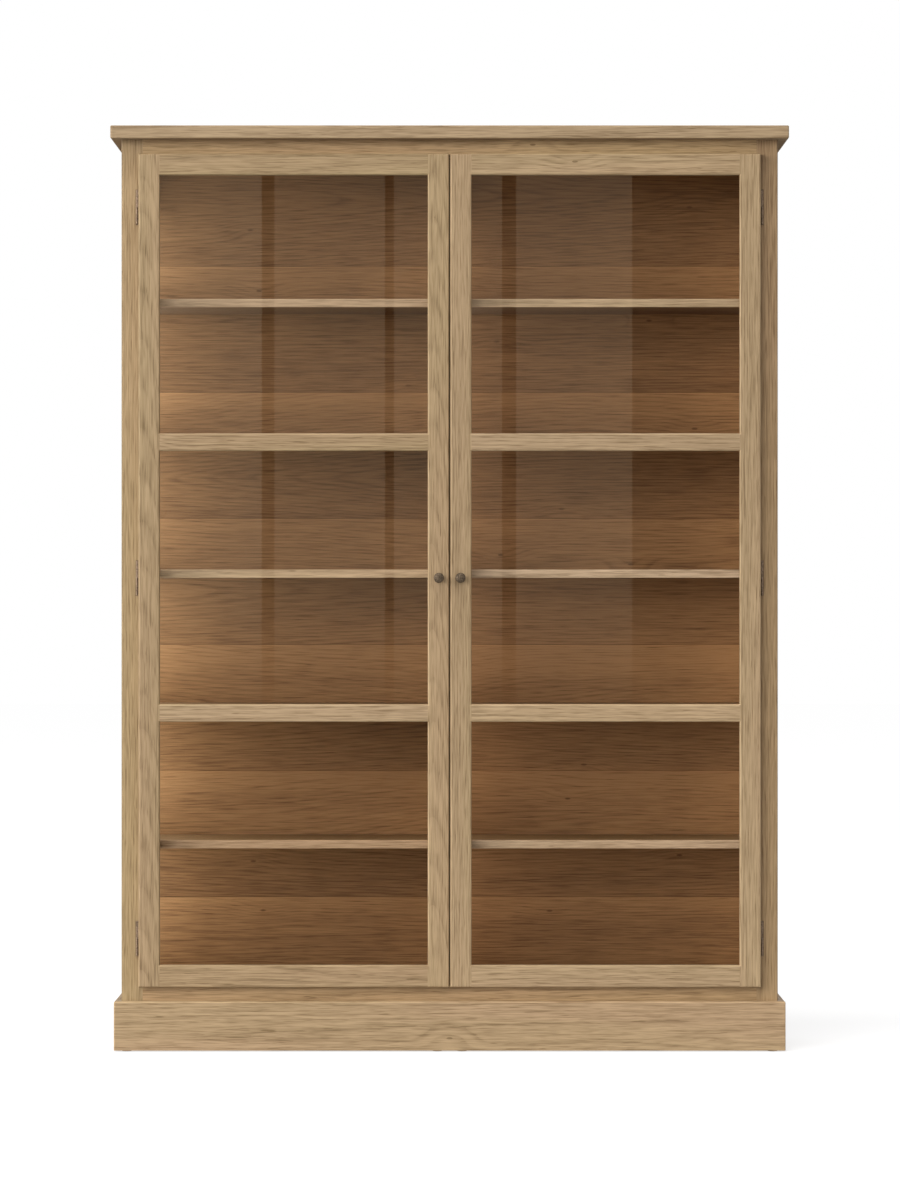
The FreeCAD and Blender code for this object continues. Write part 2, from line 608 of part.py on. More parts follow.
def door_pieces():
    """Every piece of the left door by its plain name."""
    openings = list(pane_heights.values())
    waste = [glass_rebate(*heights) for heights in openings]
    waste += [sight_rounding(*heights) for heights in openings]
    rails = {}
    tenons = []
    for name, heights in rail_heights.items():
        rail, tenon = door_rail(*heights)
        if name == "top_rail":
            rail = rounded(rail, DOOR_ROUND, {"y": door_front_y, "z": door_top_z})
        if name == "bottom_rail":
            rail = rounded(rail, DOOR_ROUND, {"y": door_front_y, "z": door_bottom_z})
        rails[name] = rail.cut(waste).fuse(tenon).removeSplitter()
        tenons.append(tenon)

    plates = []
    plate_screws = []
    for z in catch_heights:
        plate = block(catch_x - PLATE_WIDTH / 2, catch_x + PLATE_WIDTH / 2,
                      door_back_y - PLATE_THICK, door_back_y,
                      z - PLATE_HEIGHT / 2, z + PLATE_HEIGHT / 2)
        places = [Vector(catch_x, door_back_y, z + step)
                  for step in (-PLATE_SCREW_SPREAD, PLATE_SCREW_SPREAD)]
        holders = [wood_screw(place, INTO_DOOR) for place in places]
        plates.append(plate.cut(holders))
        plate_screws += holders

    bolt = knob_bolt()
    recess_radius = BOLT_HEAD_RADIUS + BOLT_RECESS_CLEARANCE
    recess = Part.makeCylinder(recess_radius, bolt_recess + PAST,
                               Vector(knob_x, door_back_y + PAST, handle_z), INTO_DOOR)
    leaf_seats = [block(door_outer_x - PAST, stile_inner_x + KNUCKLE_CLEARANCE,
                        door_back_y - LEAF_THICK, door_back_y + PAST,
                        z - HINGE_HEIGHT / 2 - KNUCKLE_CLEARANCE, z + HINGE_HEIGHT / 2 + KNUCKLE_CLEARANCE)
                  for z in hinge_heights]

    ends = ({"y": door_front_y, "z": door_top_z}, {"y": door_front_y, "z": door_bottom_z})
    hinge_stile = block(door_outer_x, sight_outer_x, door_front_y, door_back_y, door_bottom_z, door_top_z)
    hinge_stile = rounded(hinge_stile, DOOR_ROUND, {"x": door_outer_x, "y": door_front_y}, *ends)
    meeting_stile = block(sight_inner_x, door_inner_x, door_front_y, door_back_y, door_bottom_z, door_top_z)
    meeting_stile = rounded(meeting_stile, DOOR_ROUND, {"x": door_inner_x, "y": door_front_y}, *ends)

    beads = [bead for heights in openings for bead in glazing_beads(*heights)]
    pieces = {
        "hinge_stile": hinge_stile.cut(waste + tenons + leaf_seats + door_hinge_screws),
        "meeting_stile": meeting_stile.cut(waste + tenons + plates + plate_screws + [recess, bolt]),
        "knob": knob().cut(bolt),
        "hinge_leaves": Part.makeCompound(door_leaves),
        "catch_plates": Part.makeCompound(plates),
        "screws": Part.makeCompound(door_hinge_screws + plate_screws + [bolt]),
        "glazing_beads": Part.makeCompound(beads),
    }
    pieces.update(rails)
    pieces.update({name: pane(*heights) for name, heights in pane_heights.items()})
    return pieces


os.makedirs("parts", exist_ok=True)

save("top_board", top_board)
save("left_side_panel", side_panel)
save("right_side_panel", mirrored(side_panel))
save("centre_partition", partition)
save("bottom_board", bottom_board)
save("back_panel", back_panel)
save_group("centre_bearers", pair([bearer]))
save("frame_left_stile", frame_stile)
save("frame_right_stile", mirrored(frame_stile))
save("frame_top_rail", frame_top_rail.cut(mullion))
save("frame_bottom_rail", frame_bottom_rail.cut(mullion))
save("frame_mullion", mullion.cut(pair(left_magnets)))
save("plinth_front", plinth_front)
save("plinth_left", plinth_side)
save("plinth_right", mirrored(plinth_side))
for number, shelf_top in enumerate(shelf_tops, start=1):
    save("left_shelf_" + str(number), shelf(shelf_top))
    save("right_shelf_" + str(number), mirrored(shelf(shelf_top)))
save_group("shelf_pins", pair(left_bay_pins))
save_group("floor_glides", pair(left_glides))
save_group("hinge_frame_leaves", pair(frame_leaves))
save_group("hinge_pins", pair(hinge_pins))
save_group("carcass_screws", pair(frame_hinge_screws) + back_screws)
save_group("catch_magnets", pair(left_magnets))
for piece_name, piece in door_pieces().items():
    save("left_door_" + piece_name, piece)
    save("right_door_" + piece_name, mirrored(piece))
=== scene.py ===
# %% [markdown]
# # An oak bookcase with glass doors
# The joiner's pieces are already cut, so this lesson is about how they look. We bring them in, set up a
# camera and a plain studio, and give every board, pane, hinge and knob the finish that it has on the real
# piece. Nothing is moved or resized: a finish goes on through a piece's material slot, so the joints stay
# true.

# %% Bring in the cut pieces
import math

import bpy
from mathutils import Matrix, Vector


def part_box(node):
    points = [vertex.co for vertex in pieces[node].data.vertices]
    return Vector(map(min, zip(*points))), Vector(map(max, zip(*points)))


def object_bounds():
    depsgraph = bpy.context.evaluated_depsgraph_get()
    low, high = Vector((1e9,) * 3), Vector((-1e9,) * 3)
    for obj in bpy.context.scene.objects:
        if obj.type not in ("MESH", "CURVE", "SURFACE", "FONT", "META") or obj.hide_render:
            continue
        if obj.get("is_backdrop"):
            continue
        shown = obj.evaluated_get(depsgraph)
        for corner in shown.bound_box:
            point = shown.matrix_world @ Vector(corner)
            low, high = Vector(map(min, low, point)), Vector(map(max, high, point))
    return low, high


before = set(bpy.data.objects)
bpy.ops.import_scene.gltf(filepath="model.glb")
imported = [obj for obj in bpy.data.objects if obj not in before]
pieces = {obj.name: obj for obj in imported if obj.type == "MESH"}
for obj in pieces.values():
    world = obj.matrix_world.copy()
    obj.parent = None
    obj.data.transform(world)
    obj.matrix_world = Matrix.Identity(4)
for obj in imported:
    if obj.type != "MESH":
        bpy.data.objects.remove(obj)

cut_low, cut_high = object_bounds()
print("pieces", len(pieces), "box", [round(high - low, 4) for low, high in zip(cut_low, cut_high)])

# %% [markdown]
# ## The camera
# The photograph was taken square to the front from far away, which is why the sides of the case hide behind
# its face. A camera without perspective would nearly do, but strips of undersides and shelf tops show, and
# they tell how far away the eye was. So we take a long lens. We know how many metres one pixel covers on the
# face frame, and the lens is to the sensor as the distance is to the height that the picture covers.

# %% Camera
photo_width = 900
photo_height = 1200
metres_per_pixel = 0.0021635
eye_distance = 12.0
middle_column = 449.65
floor_row = 1051.25
face_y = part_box("frame_left_stile")[0].y

camera_data = bpy.data.cameras.new("photo_camera")
camera_data.sensor_width = 36.0
camera_data.lens = camera_data.sensor_width * eye_distance / (photo_height * metres_per_pixel)
camera_data.clip_end = 200.0
camera = bpy.data.objects.new("photo_camera", camera_data)
eye_x = (photo_width / 2 - middle_column) * metres_per_pixel
eye_height = (floor_row - photo_height / 2) * metres_per_pixel
camera.location = (eye_x, face_y - eye_distance, eye_height)
camera.rotation_euler = (math.radians(90), 0, 0)
bpy.context.scene.collection.objects.link(camera)
bpy.context.scene.camera = camera
bpy.context.scene.view_settings.view_transform = "Standard"
print("lens", round(camera_data.lens, 1), "mm, eye height", round(eye_height, 3), "m")

# %% [markdown]
# ## Sums that build shaders
# A shader is a web of nodes, and wiring it by hand hides what it means. Here a small class wraps one output
# of a node. Writing `1 - rings * 0.3` with it adds the Math nodes for us, so a finish reads like a recipe.
# Python uses a reflected form, such as `__rsub__`, where a plain number stands on the left.

# %% A value in a finish
class Strand:
    """One output of a node, which can be used in sums."""

    def __init__(self, finish, socket):
        self.finish = finish
        self.socket = socket

    def other(self, name):
        """Another output of the same node."""
        return Strand(self.finish, self.socket.node.outputs[name])

    def maths(self, operation, first, second=0.0):
        """A Math node with one or two values."""
        return self.finish.node("Math", {"operation": operation}, {0: first, 1: second})

    def __add__(self, value):
        return self.maths("ADD", self, value)

    def __radd__(self, value):
        return self.maths("ADD", value, self)

    def __sub__(self, value):
        return self.maths("SUBTRACT", self, value)

    def __rsub__(self, value):
        return self.maths("SUBTRACT", value, self)

    def __mul__(self, value):
        return self.maths("MULTIPLY", self, value)

    def __rmul__(self, value):
        return self.maths("MULTIPLY", value, self)

    def __truediv__(self, value):
        return self.maths("DIVIDE", self, value)

    def __rtruediv__(self, value):
        return self.maths("DIVIDE", value, self)

    def __abs__(self):
        return self.maths("ABSOLUTE", self)

    def __gt__(self, value):
        return self.maths("GREATER_THAN", self, value)


# %% [markdown]
# ## One way to add a node
# Every node comes from one method, which takes its type, its settings and what goes into its sockets: a plain
# value or a strand. The short methods below it stand for the handful of nodes that wood and metal need.
# Colours go through a Mix node, because a Math node would turn them grey.

# %% A finish and its nodes
class Finish:
    """A node tree, with one way to add any node to it."""

    def __init__(self, tree):
        self.tree = tree
        tree.nodes.clear()

    def node(self, kind, settings, sockets, out=0):
        """Any node: its type, its settings, a value or a strand for each socket, and which output to use."""
        node = self.tree.nodes.new("ShaderNode" + kind)
        for name, value in settings.items():
            setattr(node, name, value)
        for name, value in sockets.items():
            if isinstance(value, Strand):
                self.tree.links.new(value.socket, node.inputs[name])
            else:
                node.inputs[name].default_value = value
        return Strand(self, node.outputs[out]) if node.outputs else None

    def blend(self, share, first, second, mode="MIX"):
        """Two colours mixed by a share from 0 to 1."""
        settings = {"data_type": "RGBA", "blend_type": mode}
        return self.node("Mix", settings, {0: share, 6: first, 7: second}, out=2)

    def stain(self, share, base, tone):
        """A colour multiplied by a tone where share is 1, and left alone where it is 0."""
        return self.blend(share, base, self.blend(1.0, base, tone, "MULTIPLY"))

    def ease(self, value, low, high):
        """0 below low, 1 above high and a soft slope between them."""
        settings = {"interpolation_type": "SMOOTHSTEP"}
        return self.node("MapRange", settings, {"Value": value, "From Min": low, "From Max": high})

    def place(self, x, y, z):
        return self.node("CombineXYZ", {}, {"X": x, "Y": y, "Z": z})

    def clouds(self, where, detail=2.0, roughness=0.5):
        """Soft noise around 0.5."""
        sockets = {"Vector": where, "Scale": 1.0, "Detail": detail, "Roughness": roughness}
        return self.node("TexNoise", {}, sockets)

    def root(self, value):
        return value.maths("SQRT", value)

    def part_of_one(self, value):
        return value.maths("FRACT", value)

    def whole(self, value):
        return value.maths("FLOOR", value)

    def output(self, surface, kind="OutputMaterial"):
        self.node(kind, {}, {"Surface": surface})


# %% New finishes and colours
def new_finish(name):
    material = bpy.data.materials.new(name)
    material.use_nodes = True
    return material, Finish(material.node_tree)


def colour(red, green, blue):
    return (red, green, blue, 1.0)


def grey(level):
    return colour(level, level, level)


# %% [markdown]
# ## A white studio
# The background of the photograph is pure white. White walls would do that, but they would flood the case
# with light. So the world is white only for rays that come straight from the eye, or from it by way of glass
# and polished metal. For light that falls on things it is a dimmer grey sky. The Light Path node tells them
# apart.

# %% World
sky_light = 0.4


def seen_by_eye(finish):
    """1 for what the eye sees, also through glass or in metal, and 0 for light that falls on things."""
    straight = finish.node("LightPath", {}, {}, out="Is Camera Ray")
    either = straight + straight.other("Is Glossy Ray") + straight.other("Is Transmission Ray")
    untouched = 1 - (straight.other("Diffuse Depth") > 0.5)
    return (either > 0.5) * untouched


world = bpy.data.worlds.new("studio")
world.use_nodes = True
bpy.context.scene.world = world
sky = Finish(world.node_tree)
strength = sky_light + (1 - sky_light) * seen_by_eye(sky)
sky.output(sky.node("Background", {}, {"Color": grey(1), "Strength": strength}), "OutputWorld")
print("sky light", sky_light)

# %% [markdown]
# ## The floor
# The photograph has only white below the case, but a case without a shadow seems to float. So our floor glows
# for the eye, and under that glow lies plain paint, which is lit like any other thing. Round the case lies a
# sheet of paler paper, which throws light up between the shelves. It glows less than the rest: glow and paper
# together still come out white in the open, and beside the case its shadow stays as a soft grey.

# %% Floor
floor_half = 40.0
floor_mesh = bpy.data.meshes.new("floor")
corners = [(-floor_half, -floor_half, 0), (floor_half, -floor_half, 0)]
corners += [(floor_half, floor_half, 0), (-floor_half, floor_half, 0)]
floor_mesh.from_pydata(corners, [], [(0, 1, 2, 3)])
floor = bpy.data.objects.new("floor", floor_mesh)
bpy.context.scene.collection.objects.link(floor)
floor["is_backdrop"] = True
print("floor", 2 * floor_half, "m wide")

# %% Paint and paper on the floor
paper_inner = 1.4
paper_outer = 3.0
paint_grey = 0.22
paper_grey = 0.55
paint_glow = 0.9
paper_glow = 0.68
floor_paint, paint = new_finish("pale_floor")
spot = paint.node("TexCoord", {}, {}, out="Object")
x = paint.node("SeparateXYZ", {}, {"Vector": spot}, out="X")
y = x.other("Y")
paper = 1 - paint.ease(paint.root(x * x + y * y), paper_inner, paper_outer)
matt = paint.node("BsdfDiffuse", {}, {"Color": paint.blend(paper, grey(paint_grey), grey(paper_grey))})
level = paint_glow - paper * (paint_glow - paper_glow)
glow = paint.node("Emission", {}, {"Color": seen_by_eye(paint) * level, "Strength": 1.0})
paint.output(paint.node("AddShader", {}, {0: matt, 1: glow}))
floor_mesh.materials.append(floor_paint)
print("paper round the case, fading out at", paper_outer, "m")

# %% [markdown]
# ## The light
# Shadows tell where the lamps were: under the top board and to the right of the right-hand door they are soft
# and about half as wide as the step that casts them. A sun lamp would draw them too sharp. So a large area
# lamp hangs in front, somewhat to the left, a second one stands farther round to the left, and a third one
# hangs high up. Each gives a share of the light at which a white card on the front would come out white.

# %% Lamps
lamp_distance = 20.0
middle = (cut_low + cut_high) / 2


def soft_lamp(name, side, rise, width, height, share):
    """A lamp so many degrees to the left and up, that gives a share of the light on the front."""
    turn = math.radians(side)
    tilt = math.radians(rise)
    toward = Vector((-math.sin(turn) * math.cos(tilt), -math.cos(turn) * math.cos(tilt), math.sin(tilt)))
    data = bpy.data.lights.new(name, "AREA")
    data.shape = "RECTANGLE"
    data.size = width
    data.size_y = height
    data.energy = share * math.pi ** 2 * lamp_distance ** 2 / -toward.y
    lamp = bpy.data.objects.new(name, data)
    lamp.location = middle + toward * lamp_distance
    lamp.rotation_euler = toward.to_track_quat("Z", "Y").to_euler()
    bpy.context.scene.collection.objects.link(lamp)
    print(name, round(data.energy), "W")


soft_lamp("front_lamp", side=22, rise=10, width=17.0, height=10.0, share=0.4)
soft_lamp("side_lamp", side=62, rise=14, width=9.0, height=8.0, share=0.25)
soft_lamp("top_lamp", side=10, rise=64, width=8.0, height=8.0, share=0.14)

# %% [markdown]
# ## Cards inside
# In the photograph the back is brightest at its left end and the light fades away from there, as if a bright
# card stood inside against the left side. The right-hand bay has a weaker glow from both its ends. No lamp in
# front could do that without lighting the shelves too. So we make the cards, as area lamps as high as the
# inside of the case, and the shelves share their light out. They are hidden from the eye and from the glass.

# %% Cards inside the bays
shelf_low, shelf_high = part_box("left_shelf_1")
over_top_shelf = 0.2
inside_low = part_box("bottom_board")[1].z
inside_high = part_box("left_shelf_5")[1].z + over_top_shelf
card_gap = 0.001
plain_white = (1.0, 1.0, 1.0)
cool_white = (0.88, 1.0, 1.08)


def card_inside(name, board, side, brightness, tone):
    """A glowing card on a board's right-hand face, where side is 1, or its left-hand face, where it is -1."""
    data = bpy.data.lights.new(name, "AREA")
    data.shape = "RECTANGLE"
    data.size = shelf_high.y - shelf_low.y
    data.size_y = inside_high - inside_low
    data.energy = brightness * math.pi * data.size * data.size_y
    data.color = tone
    card = bpy.data.objects.new(name, data)
    face_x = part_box(board)[1 if side > 0 else 0].x + side * card_gap
    card.location = (face_x, (shelf_low.y + shelf_high.y) / 2, (inside_low + inside_high) / 2)
    card.rotation_euler = (math.radians(90), 0, math.radians(-90 * side))
    bpy.context.scene.collection.objects.link(card)
    for kind in ("camera", "glossy", "transmission"):
        setattr(card, "visible_" + kind, False)
    print(name, round(data.energy, 2), "W")


card_inside("left_card", "left_side_panel", side=1, brightness=3.5, tone=cool_white)
card_inside("middle_card", "centre_partition", side=1, brightness=1.3, tone=plain_white)
card_inside("right_card", "right_side_panel", side=-1, brightness=0.45, tone=plain_white)

# %% [markdown]
# ## What the glass mirrors
# The panes show a soft veil in their upper part, with darker upright gaps, and nothing at the bottom. That is
# the studio in front of the case, mirrored. We could build a whole studio, but only what shows in the panes
# matters. A flat mirror shows a thing as far behind the glass as it stands in front of it, so from a pixel of
# the photograph we can work out where the mirrored thing stands. Sheets hang there that only mirrors see.

# %% Sheets that only mirrors see
glass_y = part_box("left_door_upper_pane")[0].y


def mirrored_place(column, row, distance):
    """The point, so far in front of the glass, that shows at a pixel of the photograph."""
    eye = Vector((eye_x, 0, eye_height))
    on_glass = Vector((column - middle_column, 0, floor_row - row)) * metres_per_pixel
    stretch = 1 + distance / (glass_y - camera.location.y)
    spot = eye + (on_glass - eye) * stretch
    return Vector((spot.x, glass_y - distance, spot.z))


def hang(name, columns, rows, distance, material):
    """A sheet between pixel columns, left and right, and pixel rows, top and bottom."""
    high = mirrored_place(columns[0], rows[0], distance)
    low = mirrored_place(columns[1], rows[1], distance)
    outline = [(high.x, high.y, low.z), (low.x, high.y, low.z)]
    outline += [(low.x, high.y, high.z), (high.x, high.y, high.z)]
    mesh = bpy.data.meshes.new(name)
    mesh.from_pydata(outline, [], [(0, 1, 2, 3)])
    mesh.materials.append(material)
    sheet = bpy.data.objects.new(name, mesh)
    bpy.context.scene.collection.objects.link(sheet)
    for kind in ("camera", "diffuse", "shadow"):
        setattr(sheet, "visible_" + kind, False)
    sheet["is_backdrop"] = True
    print(name, [round(low.x - high.x, 3), round(high.z - low.z, 3)], "m")


def mirrored_only(finish, light):
    """Show a light in reflections, and nothing where it is looked at through glass."""
    bounces = finish.node("LightPath", {}, {}, out="Glossy Depth")
    clear = finish.node("BsdfTransparent", {}, {})
    finish.output(finish.node("MixShader", {}, {0: bounces > 0.5, 1: clear, 2: light}))


# %% [markdown]
# ## Curtain and screens
# A dark curtain hides the white studio from the panes, so that their bottom stays clear. In front of it hang
# four pale screens, side by side, with the gaps that the photograph shows. They fade out towards the floor.
# The one on the left is a little brighter than the others.

# %% Curtain and screens
curtain_distance = 2.5
curtain_columns = (60, 840)
curtain_rows = (60, 1040)
screen_gap = 0.02
screen_columns = [(120, 262), (274.5, 385), (394, 502), (516, 632)]
screen_rows = (130, 780)
fade_rows = (560, 750)


def screen_light(name, brightness, tone):
    """A screen that fades out between two rows of the photograph."""
    material, screen = new_finish(name)
    spot = screen.node("TexCoord", {}, {}, out="Object")
    level = screen.node("SeparateXYZ", {}, {"Vector": spot}, out="Z")
    high, low = [mirrored_place(middle_column, row, curtain_distance).z for row in fade_rows]
    bright = colour(*[channel * brightness for channel in tone])
    shown = screen.blend(screen.ease(level, low, high), grey(0), bright)
    mirrored_only(screen, screen.node("Emission", {}, {"Color": shown, "Strength": 1.0}))
    return material


curtain_cloth, cloth = new_finish("dark_curtain")
mirrored_only(cloth, cloth.node("Emission", {}, {"Color": grey(0), "Strength": 0.0}))
hang("dark_curtain", curtain_columns, curtain_rows, curtain_distance, curtain_cloth)

near_screen = screen_light("near_screen", brightness=0.52, tone=(1.0, 0.82, 0.6))
warm_screen = screen_light("warm_screen", brightness=0.43, tone=(1.0, 0.76, 0.52))
for number, columns in enumerate(screen_columns):
    screen = warm_screen if number else near_screen
    hang("screen_" + str(number + 1), columns, screen_rows, curtain_distance - screen_gap, screen)

# %% [markdown]
# ## Glass
# Float glass is clear, a little green, and mirrors about a twelfth of the light at its two faces. A
# Principled shader with full transmission does that. Light from a lamp can't find its way through bending
# glass in a render, so for shadow rays and for scattered light the pane is plainly see-through, and the
# shelves behind it are lit.

# %% Glass panes
glass_tint = (0.965, 0.985, 0.97)
glass_shade = (0.94, 0.955, 0.94)
glass_index = 1.5


def dress(piece, material):
    piece.material_slots[0].material = material


pane_finish, glass = new_finish("clear_glass")
bending = glass.node("BsdfPrincipled", {}, {
    "Base Color": colour(*glass_tint), "Roughness": 0.0, "IOR": glass_index, "Transmission Weight": 1.0})
straight = glass.node("BsdfTransparent", {}, {"Color": colour(*glass_shade)})
ray = glass.node("LightPath", {}, {}, out="Is Shadow Ray")
through = ray.maths("MAXIMUM", ray, ray.other("Is Diffuse Ray"))
glass.output(glass.node("MixShader", {}, {0: through, 1: bending, 2: straight}))
panes = [piece for name, piece in pieces.items() if name.endswith("_pane")]
for pane in panes:
    dress(pane, pane_finish)
print("panes", len(panes))

# %% [markdown]
# ## Finding the grain
# Wood could be painted as an image and wrapped round a board, but then its lines would break off at the
# edges. A formula in space runs on through them. So every recipe first asks how far along the grain, across
# the face and into the board a point lies. The Object output of Texture Coordinate gives the place in the
# frame, and it moves with a door that opens. Its Normal output tells which way a face looks.

# %% Directions in a board
def board_axes(finish, grain):
    """How far along the grain, across the face and into the board a point lies."""
    spot = finish.node("TexCoord", {}, {}, out="Object")
    x = finish.node("SeparateXYZ", {}, {"Vector": spot}, out="X")
    y = x.other("Y")
    z = x.other("Z")
    return {"x": (x, z, y), "y": (y, z, x), "z": (z, x, y)}[grain]


def facing(finish, axis):
    """How far a surface faces along an axis of the frame, from -1 to 1."""
    normal = finish.node("TexCoord", {}, {}, out="Normal")
    return finish.node("SeparateXYZ", {}, {"Vector": normal}, out=axis.upper())


# %% [markdown]
# ## Rings and knots
# A board is a slice through a tree, so its figure is worked out as one: yearly rings round a heart that lies
# somewhere beside or behind the board. A ring starts dark, fades to pale and darkens again at its close, and
# some years are darker than others. Here and there a twig left a pin knot, and the rings swerve round it. A
# Voronoi texture scatters those: it gives the way to the nearest of many points, and we keep few of them.

# %% Rings and knots
start_fades = 0.5
close_begins = 0.82
close_dark = 0.7
palest_year = 0.45
year_range = 0.75
knot_cells = (3.3, 9.0)
knot_core = 0.008
knot_rim = 0.026
swirl_reach = 0.3
swirl_rings = 1.5


def ring_share(finish, growth):
    """Dark at the start of each year's ring, fading to pale, with some years darker than others."""
    phase = finish.part_of_one(growth)
    year = finish.node("TexWhiteNoise", {"noise_dimensions": "1D"}, {"W": finish.whole(growth)})
    start = 1 - finish.ease(phase, 0.0, start_fades)
    close = finish.ease(phase, close_begins, 1.0)
    return (start + close * close_dark) * (palest_year + year * year_range)


def pin_knots(finish, u, v, rare):
    """A few small dark knots, and by how many rings the figure swerves round each."""
    where = finish.place(u * knot_cells[0], v * knot_cells[1], 0.0)
    away = finish.node("TexVoronoi", {"voronoi_dimensions": "2D"}, {"Vector": where, "Scale": 1.0})
    chance = finish.node("SeparateColor", {}, {"Color": away.other("Color")}, out="Red")
    chosen = chance > rare
    knots = (1 - finish.ease(away, knot_core, knot_rim)) * chosen
    swirl = (1 - finish.ease(away, 0.0, swirl_reach)) * chosen
    return knots, swirl * swirl_rings


# %% [markdown]
# ## Streaks, fibre and pores
# On top of the rings come marks that all run along the grain: broad bands, streaks, thin lines, fibre, and
# short dark pores, which crowd where a ring is dark. Each is soft noise that is stretched along the board.
# For each wood we say how many cells of the noise fit into a metre along and across the grain, and how much
# the mark darkens. Pores and fibre also lie a little below the surface, which a Bump node can show.

# %% Marks along the grain
plain_detail = 1.0
streak_detail = 2.0
streak_roughness = 0.55
line_range = (0.48, 0.6)
fibre_range = (0.46, 0.64)
pore_range = (0.6, 0.7)
pores_anywhere = 0.2
pores_in_rings = 0.8
relief_height = 0.0004
fibre_relief = 0.3


def grain_marks(finish, spot, cells, rings):
    """The marks of a wood, where spot gives a place for so many cells along and across."""
    band = finish.clouds(spot(*cells["band"]), plain_detail) - 0.5
    streak = finish.clouds(spot(*cells["streak"]), streak_detail, streak_roughness) - 0.5
    lines = finish.ease(finish.clouds(spot(*cells["lines"]), plain_detail), *line_range)
    fibre = finish.ease(finish.clouds(spot(*cells["fibre"]), plain_detail), *fibre_range)
    specks = finish.ease(finish.clouds(spot(*cells["pores"]), plain_detail), *pore_range)
    pores = specks * (pores_anywhere + rings * pores_in_rings)
    return {"rings": rings, "band": band, "streak": streak, "lines": lines, "fibre": fibre, "pores": pores}


def added(marks, amounts):
    """Marks added up, each by its amount."""
    return sum(marks[name] * amount for name, amount in amounts.items())


def relief(finish, marks, strength):
    """The fine hollows of fibre and pores."""
    height = 0 - marks["fibre"] * fibre_relief - marks["pores"]
    return finish.node("Bump", {}, {"Strength": strength, "Distance": relief_height, "Height": height})


# %% [markdown]
# ## The figure of a board
# A tree is never quite round, so slow and quick noise bend its rings. A board that was cut beside the heart
# shows straight lines, and one that was cut across it shows arches. The sum works in space, so the end of a
# board shows rings by itself.

# %% Figure of a board
ring_width = 0.0055
rare_knot = 0.88
slow_cells = (0.9, 4.5)
quick_cells = (4.0, 22.0)
patch_cells = (0.8, 11.0)
patch_range = (0.36, 0.64)
slow_bend = 0.055
quick_bend = 0.007
deep_bend = 0.02
oak_cells = {"band": (0.8, 17.0), "streak": (7.0, 150.0), "lines": (11.0, 300.0), "fibre": (20.0, 470.0),
             "pores": (25.0, 420.0)}


def oak_figure(finish, axes, cut, heart, lean):
    """The marks of a board. Its cut shifts it in the tree, and the heart lies across and into the board."""
    along, across, deep = axes
    u, v, w = [axis + shift for axis, shift in zip(axes, cut)]

    def spot(lengthwise, crosswise):
        return finish.place(u * lengthwise, v * crosswise, w * crosswise)

    slow = finish.clouds(spot(*slow_cells)) - 0.5
    quick = finish.clouds(spot(*quick_cells)) - 0.5
    beside = across - heart[0] + slow * slow_bend + quick * quick_bend
    behind = deep - heart[1] + slow * deep_bend
    reach = finish.root(beside * beside + behind * behind)
    knots, swirl = pin_knots(finish, u, v, rare_knot)
    rings = ring_share(finish, (reach + along * lean) / ring_width + swirl)
    marks = grain_marks(finish, spot, oak_cells, rings)
    marks["knots"] = knots
    marks["patch"] = finish.ease(finish.clouds(spot(*patch_cells), plain_detail), *patch_range)
    return marks


print("a year's ring is", ring_width * 1000, "mm wide")

# %% [markdown]
# ## Faces, ends and edges
# Oil sinks deeper into end grain, so the ends of a board are darker. Rounded edges are sanded most, and on
# doors and plinth they draw a fine light line, partly wear and partly a painted highlight; on the face frame
# the rounded edge is painted darker, a painted shade. Undersides were left bare and rough, and under a shelf
# the colour is darker too, a painted shade. A shelf is a veneered panel with a strip of solid oak, a lipping,
# along its front edge, so behind that strip it has the browner tone of the veneer, darkened further with
# painted shade. The way that a face looks tells these places apart, so no mask has to be painted.

# %% Faces, ends and edges
end_range = (0.7, 0.9)
under_range = (-0.9, -0.6)
edge_range = (0.1, 0.35)
# the browner veneer behind the lipping is partly its own tone and partly painted shade; under a shelf the
# colour gets painted shade
veneer_tone_and_shade = (0.7, 0.56, 0.44)
shelf_underside_shade = (0.62, 0.55, 0.48)
lipping_line = 0.001


def end_grain(finish, grain):
    """1 on the ends of a board."""
    return finish.ease(abs(facing(finish, grain)), *end_range)


def underside(finish):
    """1 on faces that look down."""
    return 1 - finish.ease(facing(finish, "z"), *under_range)


def rounded_edge(finish):
    """1 where a face turns from the front to a side, to the top or to the bottom."""
    forward = facing(finish, "y")
    slant = abs(forward * facing(finish, "x")) + abs(forward * facing(finish, "z"))
    return finish.ease(slant, *edge_range)


def veneered(finish, wood, deep, lipping, tone_and_light_lift, facing_down):
    """A shelf: browner behind its lipping, partly with painted shade, and darker underneath with painted
    shade.
    """
    behind = finish.ease(deep, lipping, lipping + lipping_line)
    inner = [share / lift for share, lift in zip(veneer_tone_and_shade, tone_and_light_lift)]
    wood = finish.stain(behind, wood, colour(*inner))
    return finish.stain(facing_down, wood, colour(*shelf_underside_shade))


# %% [markdown]
# ## The oak recipe
# Now the parts come together in one material for each board: a shade between two tones of oak, patches of
# slightly greener and warmer wood, ends and edges, and the fine relief. The shade stays well between 0 and 1,
# because a Mix node cuts off what lies outside and the grain would go flat there. The finish is a thin oil,
# so the wood is half rough and mirrors little.

# %% Oak recipe
pale_oak = (0.49, 0.336, 0.187)
brown_oak = (0.21, 0.131, 0.061)
green_patch = (0.985, 1.0, 0.97)
warm_patch = (1.01, 0.996, 1.0)
end_tone = (0.72, 0.67, 0.6)
oak_shade = 0.215
oak_amounts = {"rings": 0.24, "band": 0.36, "streak": 0.44, "lines": 0.22, "fibre": 0.28, "pores": 0.5,
               "knots": 1.3}
oiled = 0.5
oak_roughness = {"fibre": 0.1, "pores": 0.15, "ends": 0.2, "facing_down": 0.5}
oak_gleam = 0.3
oak_relief = 0.25


def tinted(base, tone_and_light_lift):
    return colour(*[channel * share for channel, share in zip(base, tone_and_light_lift)])


